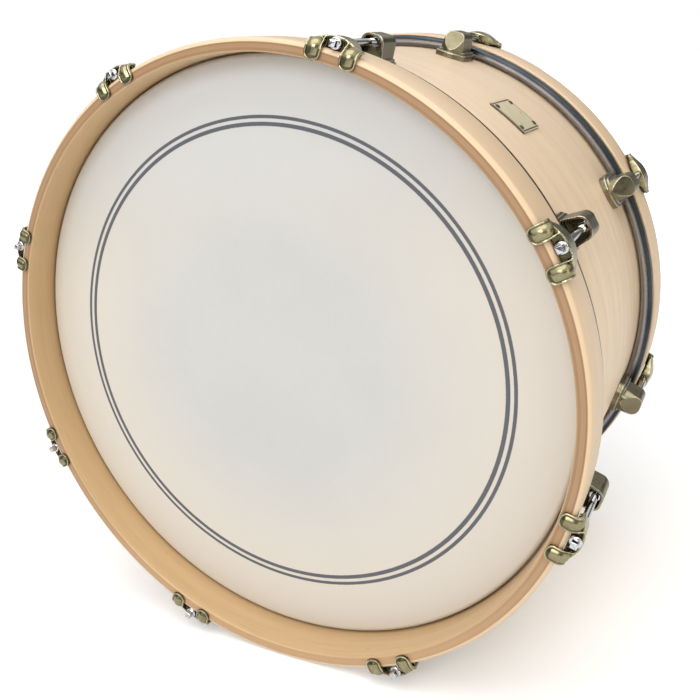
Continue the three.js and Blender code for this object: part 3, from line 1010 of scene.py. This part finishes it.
def darken_inside(claw):
    """Sets the claw's wear value by place: none inside the hollow roof, which paints shade there; little on the
    skirt's lowest band, which paints its shadow over the hoop; and a high value on the rest of the roof, which gives
    it a lighter, partly polished colour.
    """
    for vertex, wear_and_shade in zip(claw.data.vertices, claw.data.attributes["wear_and_shade"].data):
        x, y, z = vertex.co
        under = z < roof_height(x) - ROOF_FALL * (y - ROOF_FRONT) - 1.3 and vertex.co.xy.length < CLAW_HALF - 1.3
        # Painted shade: the inside of the hollow roof takes the dark hollow colour.
        if under and abs(x) < (9.8 if y < 5 else 17.5) and y > 1.8:
            wear_and_shade.value = 0
        # Painted shadow: the skirt's lowest band, where it stands over the hoop.
        elif y > 5 and z < 2.6:
            wear_and_shade.value = min(wear_and_shade.value, 0.3)
        elif y > 5:
            wear_and_shade.value = max(wear_and_shade.value, 0.7)


def claw_model():
    claw = joined(roof(), *tongue(-1), *tongue(1), claw_bead())
    modified(claw, "REMESH", mode="VOXEL", voxel_size=0.5)
    gap = [(x, y, -20) for x, y in ((-GAP_HALF, -14), (GAP_HALF, -14), (GAP_HALF, 4), (-GAP_HALF, 4))]
    inner = [(x, 3.5, roof_height(x) - 2.3) for x in (9.6, 6.5, 3.2, 0, -3.2, -6.5, -9.6)]
    cut(claw, prism("gap", gap, (0, 0, 60), [(gap[2], 2.5, 6), (gap[3], 2.5, 6)]),
        bar("waist", 9.4, -20, 3.4, height=4.0, sides=40),
        prism("pocket", [(-9.6, 3.5, -2), (9.6, 3.5, -2), *inner], (0, 2.6, 0)))
    combined(claw, bar("seat", 5.0, SEAT_START, SEAT_END, height=ROD_HEIGHT - 0.6, sides=32), "UNION")
    cut(claw, block("hoop_room", (-40, -0.3, -30), (40, 60, 0.3)),
        block("skirt_gap", (-40, SEAT_END, -30), (40, 60, 1.5)),
        bar("rod_room", 3.3, -20, 40, height=ROD_HEIGHT, sides=32))
    softened(claw, grain=0.36, rounds=4, keep=0.42)
    darken_inside(claw)
    return claw


class DRUM_OT_claws(bpy.types.Operator):
    """Builds the sixteen cast claws, two tongues and a hollow roof to each"""

    bl_idname = "drum.claws"
    bl_label = "Claws"

    def execute(self, context):
        model = claw_model()
        material = plated_finish("antique brass", sizes().brass, 0.26, (0.52, 0.47, 0.31), 0.22, 0.36)
        for side, number, place in stations(HOOP_RADIUS):
            placed(model, f"{side}_cast_claw_{number}", place, f"{side}_rim", material,
                   [f"{side}_claw_{number}"])
        discard(model)
        return {"FINISHED"}


SHANK_RADIUS = 3.0
SHANK_END = 64.0
ROD_END = 96.6
THREAD_PITCH = 1.06
THREAD_TURNS = 30
KEY_FRONT = -4.0
KEY_HALF = 2.8


def rod_model():
    """A tension rod: threaded shank, domed flange and chamfered square key."""
    shank = bar("shank", SHANK_RADIUS, 2.0, SHANK_END, sides=28)
    ridge = ring_outline([(2.5, 62.75), (SHANK_RADIUS, 63.2), (SHANK_RADIUS, 63.35), (2.5, 63.8)])
    thread = drawn("thread", ridge + ridge[:1], closed=False)
    with editing(thread):
        merge_close(FINE_MERGE)
    modified(thread, "SCREW", axis="Y", steps=14, render_steps=14, angle=FULL_TURN, screw_offset=THREAD_PITCH,
             iterations=THREAD_TURNS, use_merge_vertices=False)
    with editing(thread):
        bpy.ops.mesh.fill_holes(sides=0)
        turn_outwards()
    core = bar("core", 2.58, SHANK_END - 2, ROD_END, sides=20)
    bevelled(core, lambda e: all(v.co.y > ROD_END - 0.6 for v in e.verts), 0.7, 2)
    flange = bar("flange", 5.2, 1.5, 3.7, sides=40)
    bevelled(flange, lambda e: all(v.co.y < 1.6 for v in e.verts), 1.6, 6)
    key = block("key", (-KEY_HALF, KEY_FRONT, -KEY_HALF), (KEY_HALF, 1.7, KEY_HALF))
    bevelled(key, lambda e: abs(e.verts[0].co.y - e.verts[1].co.y) > 1, 0.5, 3)
    bevelled(key, lambda e: all(v.co.y < KEY_FRONT + 0.1 for v in e.verts), 0.7, 3)
    return smooth(joined(shank, thread, core, flange, key), 35)


class DRUM_OT_rods(bpy.types.Operator):
    """Builds the sixteen tension rods, each with a flange and a square key head"""

    bl_idname = "drum.rods"
    bl_label = "Tension Rods"

    def execute(self, context):
        model = rod_model()
        material = chrome_finish()
        for side, number, place in stations(HOOP_RADIUS + ROD_HEIGHT):
            node = f"{side}_rod_{number}"
            placed(model, f"{side}_tension_rod_{number}", place, node, material, [node])
        discard(model)
        return {"FINISHED"}


# Lugs are drawn with X along the rim, Y from the hoop's outer face and Z out from the shell's surface.
LUG_START = 66.0
LUG_END = 105.0
FOOT_HALF = 16.75
FOOT_BOW_RADIUS = 24.0
FOOT_BOW = 44.0
BARREL_START = 71.0
BARREL_END = 104.0
BARREL_HALF = 13.5
BARREL_SHOULDER = 7.0
FACET_FOOT = 7.5
FACET_LEAN = 7.6
BARREL_WALL = 2.3
FOOT_TOP = 5.5
STEP_TOP = 8.0
BORE_END = 96.7
NUT_START = 79.0
NUT_END = 84.0
SCREW_PLACES = (8.0, 30.0)
SCREW_TOP = -7.5 - 0.3
SCREW_HEAD = 3.5


def plate(name, inset, low, high, corner):
    """One step of the foot: a plate with a bowed far end and softened edges."""
    half = FOOT_HALF - inset
    start = LUG_START + inset * 0.3
    bow = arc(0, LUG_END - inset - FOOT_BOW_RADIUS, FOOT_BOW_RADIUS, 90 - FOOT_BOW, 90 + FOOT_BOW, 8)
    shoulder = bow[0][1] - 0.5
    bow = [(x, y) for x, y in bow if abs(x) < half - 1]
    points = [(x, y, low) for x, y in ((-half, start), (half, start), (half, shoulder), *bow, (-half, shoulder))]
    corners = [(points[2], corner, 7), (points[-1], corner, 7), (points[0], 1.6, 3), (points[1], 1.6, 3)]
    piece = prism(name, points, (0, 0, high - low), corners)
    return bevelled(piece, lambda e: all(v.co.z > high - 0.01 for v in e.verts), 0.9, 3)


def barrel_face(inset, base, top):
    """The barrel seen from its mouth: straight sides and round shoulders."""
    half = BARREL_HALF - inset
    radius = BARREL_SHOULDER - inset
    centre = half - 3.0 - radius
    points = [(-half, base), (half, base)]
    points += arc(centre, top - inset - radius, radius, 0, 90, 8)
    points += arc(-centre, top - inset - radius, radius, 90, 180, 8)
    return [(x, 60, z) for x, z in points]


def lug_model():
    """A lug: stepped foot and a hollow barrel, its closed end cut to a slanted facet."""
    rod_height = HOOP_RADIUS + ROD_HEIGHT - SHELL_RADIUS
    top = rod_height + BARREL_SHOULDER
    plan = [(-BARREL_HALF, BARREL_START), (BARREL_HALF, BARREL_START)]
    plan += arc(0, BARREL_END - BARREL_HALF, BARREL_HALF, 0, 180, 24)
    barrel = prism("barrel", [(x, y, 4) for x, y in plan], (0, 0, top))
    combined(barrel, prism("face", barrel_face(0, 2, top), (0, 60, 0)), "INTERSECT")
    upper, far = BARREL_END - FACET_LEAN, BARREL_END + 30
    facet = [(BARREL_END + 0.4, FACET_FOOT), (upper, top + 0.1), (upper, top + 20), (far, top + 20), (far, FACET_FOOT)]
    cut(barrel, prism("facet", [(-30, y, z) for y, z in facet], (60, 0, 0)))
    combined(barrel, plate("foot", 0, -1.5, FOOT_TOP, 3.2), "UNION")
    combined(barrel, plate("step", 2.0, 4.0, STEP_TOP, 2.6), "UNION")
    cut(barrel, prism("mouth", barrel_face(BARREL_WALL, 7.0, top), (0, 23, 0)),
        bar("bore", 3.4, 60, BORE_END, height=rod_height, sides=28),
        bar("shell_room", SHELL_RADIUS + 0.05, 5, 165, height=-SHELL_RADIUS, sides=256))
    return softened(barrel, grain=0.38, rounds=2, keep=0.35)


def nut_model():
    """The swivel nut at the bottom of the lug's mouth."""
    nut = bar("nut", 5.2, NUT_START, NUT_END, sides=6)
    bevelled(nut, lambda e: all(v.co.y < NUT_START + 0.1 for v in e.verts), 0.7, 2)
    combined(nut, bar("collar", 4.2, NUT_START - 1.2, NUT_START + 1, sides=32), "UNION")
    return smooth(cut(nut, bar("bore", 3.15, 70, 90, sides=32)), 35)


def screw_model():
    """The head of a lug screw, inside the shell."""
    head = bar("screw_head", 5.5, SCREW_TOP - SCREW_HEAD, SCREW_TOP, axis="Z")
    return smooth(bevelled(head, lambda e: all(v.co.z < SCREW_TOP - 3.2 for v in e.verts), 1.4, 4), 35)


class DRUM_OT_lugs(bpy.types.Operator):
    """Builds the sixteen cast lugs with their swivel nuts and screws"""

    bl_idname = "drum.lugs"
    bl_label = "Lugs"

    def execute(self, context):
        model, nut, screw = lug_model(), nut_model(), screw_model()
        material = plated_finish("dark antique brass", sizes().dark_brass, 0.7, (0.48, 0.44, 0.325), 0.24, 0.4)
        steel, bright = steel_finish(), chrome_finish()
        nut_lift = shifted(0, 0, HOOP_RADIUS + ROD_HEIGHT - SHELL_RADIUS)
        for side, number, place in stations(SHELL_RADIUS):
            placed(model, f"{side}_cast_lug_{number}", place, "shell", material, [f"{side}_lug_{number}"])
            placed(nut, f"{side}_swivel_nut_{number}", place @ nut_lift, "shell", bright)
            for j, along in enumerate(SCREW_PLACES):
                placed(screw, f"{side}_lug_screw_{number}_{j + 1}", place @ shifted(0, LUG_START + along, 0),
                       "shell", steel)
        discard(model, nut, screw)
        return {"FINISHED"}


BADGE_LENGTH = 54.0
BADGE_WIDTH = 41.0
BADGE_THICKNESS = 1.5
BADGE_FLOOR = SHELL_RADIUS + 0.25
BADGE_TOP = BADGE_FLOOR + BADGE_THICKNESS
BADGE_ANGLE = math.pi / 4
BADGE_INSETS = ((1.1, 0), (0.25, -0.4), (1.0, 0), (0.25, 0.4))
PIN_INSET = 6.0


def badge_model():
    """A curved plate with round corners, a border groove and a flat field."""
    half = BADGE_WIDTH / 2 / BADGE_FLOOR
    x, z = math.sin(-half) * BADGE_FLOOR, math.cos(-half) * BADGE_FLOOR
    piece = drawn("badge", [(x, y, z) for y in (-BADGE_LENGTH / 2, BADGE_LENGTH / 2)], closed=False)
    with editing(piece):
        spin(9, -2 * half)
        merge_close(FINE_MERGE)
        if bmesh.from_edit_mesh(piece.data).faces[:][0].normal.z < 0:
            bpy.ops.mesh.flip_normals()
        select_all()
        bpy.ops.mesh.extrude_region_shrink_fatten(TRANSFORM_OT_shrink_fatten={"value": BADGE_THICKNESS})
        for thickness, depth in BADGE_INSETS:
            bpy.ops.mesh.inset(thickness=thickness, depth=depth, use_even_offset=True)
        pick(piece, "EDGE", lambda e: abs(abs(middle(e).y) - BADGE_LENGTH / 2) < 0.01
             and abs((e.verts[0].co - e.verts[1].co).length - BADGE_THICKNESS) < 0.01
             and abs(math.atan2(middle(e).x, middle(e).z)) > half * 0.99)
        bpy.ops.mesh.bevel(offset=2.0, segments=5)
        turn_outwards()
    # Marks faces below the plate's top: the border groove, dark in its own colour, and the plate's sides, whose dark
    # is painted shade.
    groove_and_side_shade = piece.data.attributes.new("groove_and_side_shade", "FLOAT", "FACE")
    groove_and_side_shade.data.foreach_set("value", [float(f.center.xz.length < BADGE_TOP - 0.12) for f in piece.data.polygons])
    return piece


def pin_model():
    """A domed pin head."""
    bpy.ops.mesh.primitive_uv_sphere_add(segments=24, ring_count=16, radius=2.6, location=(0, 0, 0))
    pin = named("pin")
    with editing(pin):
        bpy.ops.transform.resize(value=(1, 1, 0.55))
        bpy.ops.mesh.bisect(plane_co=(0, 0, -0.2), plane_no=(0, 0, 1), clear_inner=True, use_fill=True)
    return smooth(pin, 35)


class DRUM_OT_badge(bpy.types.Operator):
    """Builds the bare badge plate and its four domed pins"""

    bl_idname = "drum.badge"
    bl_label = "Badge"

    def execute(self, context):
        model, pin = badge_model(), pin_model()
        material, steel = plate_finish(), steel_finish()
        place = drum_place() @ turned(BADGE_ANGLE)
        smooth(placed(model, "badge_plate", place, "shell", material, ["badge"]), 25)
        reach = (BADGE_WIDTH / 2 - PIN_INSET) / BADGE_TOP
        for i, (across, along) in enumerate(((-1, -1), (1, -1), (1, 1), (-1, 1))):
            spot = turned(across * reach) @ shifted(0, along * (BADGE_LENGTH / 2 - PIN_INSET), BADGE_TOP)
            placed(pin, f"badge_pin_{i + 1}", place @ spot, "shell", steel)
        discard(model, pin)
        return {"FINISHED"}


class DRUM_OT_vent(bpy.types.Operator):
    """Builds the vent's rolled eyelet"""

    bl_idname = "drum.vent"
    bl_label = "Vent"

    def execute(self, context):
        outside = SHELL_RADIUS + 0.3
        inside = SHELL_RADIUS - sizes().shell_wall / MM - 0.3
        points = [(4.5, inside - 1.3), (7.2, inside - 1.3), (7.2, inside), (5.7, inside), (5.7, outside - 0.5),
                  (9.0, outside - 0.5), (8.4, outside + 0.9), (6.2, outside + 1.4), (4.5, outside + 0.6)]
        model = revolved(drawn("eyelet", [(x, 0, z) for x, z in points]), 40, (0, 0, 1))
        mark_wear_and_shade(model)
        material = plated_finish("eyelet brass", sizes().brass, 0.35, (0.80, 0.70, 0.40), 0.2, 0.34)
        place = drum_place() @ turned(-QUARTER_TURN)
        smooth(placed(model, "vent_eyelet", place, "shell", material, ["vent_grommet"]), 50)
        discard(model)
        return {"FINISHED"}


# ---- Stage ----

SKY_LOW = 0.22
SKY_HIGH = 0.75
SHEEN_LOW = 0.16
SHEEN_HIGH = 1.05
AIM = (0, 0, 0.3)
LAMPS = (("key", (0.1, -3.5, 2.0), (2.4, 1.4), 62, (1, 1, 1)),
         ("fill", (3.4, -1.0, 0.9), (0.9, 2.2), 17, (1.0, 0.86, 0.48)),
         ("top", (0.2, -1.1, 3.3), (4.4, 2.8), 78, (1, 1, 1)))
CAMERA_ANGLES = (32.7709, 10.9591, -6.6235)
CAMERA_SHIFT = (0.1221, -0.1429)
CAMERA_PLACE = (414.41, -598.13, 250.13)


def backdrop_finish():
    """A white that keeps the drum's shadow: a matt surface, brightened only where it is looked at."""
    material, tree, shader, place = finish_of("floor white")
    seen = add(tree, "ShaderNodeLightPath").outputs["Is Camera Ray"]
    away = add(tree, "ShaderNodeVectorMath", {0: place}, operation="LENGTH").outputs["Value"]
    fill(tree, shader, {
        "Base Color": shade(sizes().backdrop, 0.86), "Roughness": 0.9, "Specular IOR Level": 0.0,
        "Emission Color": sizes().backdrop,
        "Emission Strength": maths(tree, "MULTIPLY", seen, between(tree, away, 0.8, 3.2, 0.22, 1.0))})
    return material


def build_air():
    """Soft light from all sides, crisper where metal mirrors it, and the backdrop's colour behind."""
    world = bpy.data.worlds.new("air")
    bpy.context.scene.world = world
    world.use_nodes = True
    tree = world.node_tree
    path = add(tree, "ShaderNodeLightPath").outputs
    height = height_of(tree, add(tree, "ShaderNodeTexCoord").outputs["Generated"])
    soft = between(tree, height, 0.0, 0.9, SKY_LOW, SKY_HIGH)
    crisp = between(tree, height, 0.30, 0.48, SHEEN_LOW, SHEEN_HIGH)
    sky = chosen(tree, path["Is Glossy Ray"], soft, crisp)
    fill(tree, tree.nodes["Background"], {
        "Color": sizes().backdrop, "Strength": chosen(tree, path["Is Camera Ray"], sky, 1.0)})


def lamp(name, place, size, power, colour):
    """A soft lamp that looks at the drum's middle."""
    light = bpy.data.lights.new(name, "AREA")
    light.shape = "RECTANGLE"
    light.size, light.size_y = size
    light.energy = power
    light.color = colour
    holder = bpy.data.objects.new(name, light)
    holder.location = place
    holder.rotation_euler = (Vector(AIM) - Vector(place)).to_track_quat("-Z", "Y").to_euler()
    bpy.context.scene.collection.objects.link(holder)


def portrait_camera():
    """The camera at the photograph's angle."""
    azimuth, elevation, roll = (math.radians(angle) for angle in CAMERA_ANGLES)
    data = bpy.data.cameras.new("portrait")
    data.sensor_width = 36
    data.lens = sizes().camera_lens
    data.shift_x, data.shift_y = CAMERA_SHIFT
    data.clip_start, data.clip_end = 0.05, 100
    camera = bpy.data.objects.new("portrait", data)
    place = Vector(CAMERA_PLACE) + Vector((0, -HALF_LENGTH, AXIS_HEIGHT))
    aimed = Matrix.Rotation(azimuth, 4, "Z") @ Matrix.Rotation(QUARTER_TURN - elevation, 4, "X")
    camera.matrix_world = shifted(*place * MM) @ aimed @ Matrix.Rotation(roll, 4, "Z")
    bpy.context.scene.collection.objects.link(camera)
    bpy.context.scene.camera = camera


class DRUM_OT_stage(bpy.types.Operator):
    """Builds the floor, the light and the camera"""

    bl_idname = "drum.stage"
    bl_label = "Stage"

    def execute(self, context):
        bpy.ops.mesh.primitive_plane_add(size=60, location=(0, 0, 0))
        floor = named("floor")
        floor.data.materials.append(backdrop_finish())
        build_air()
        for settings in LAMPS:
            lamp(*settings)
        portrait_camera()
        context.scene.view_settings.view_transform = "Standard"
        return {"FINISHED"}


class DRUM_PT_panel(bpy.types.Panel):
    """The drum's sizes, colours and pieces"""

    bl_idname = "DRUM_PT_panel"
    bl_label = "Marching Bass Drum"
    bl_space_type = "VIEW_3D"
    bl_region_type = "UI"
    bl_category = "Drum"

    def draw(self, context):
        for name in DrumSizes.__annotations__:
            self.layout.prop(context.scene.drum_sizes, name)
        for operator in PIECES:
            self.layout.operator(operator.bl_idname)


PIECES = (DRUM_OT_stage, DRUM_OT_shell, DRUM_OT_hoops, DRUM_OT_heads, DRUM_OT_flesh_hoops, DRUM_OT_claws,
          DRUM_OT_rods, DRUM_OT_lugs, DRUM_OT_badge, DRUM_OT_vent)


def register():
    for item in (DrumSizes, *PIECES, DRUM_PT_panel):
        bpy.utils.register_class(item)
    bpy.types.Scene.drum_sizes = bpy.props.PointerProperty(type=DrumSizes)


def unregister():
    del bpy.types.Scene.drum_sizes
    for item in (DRUM_PT_panel, *reversed(PIECES), DrumSizes):
        bpy.utils.unregister_class(item)


def main():
    register()
    for operator in PIECES:
        getattr(bpy.ops.drum, operator.bl_idname.split(".")[1])()


if __name__ == "__main__":
    main()
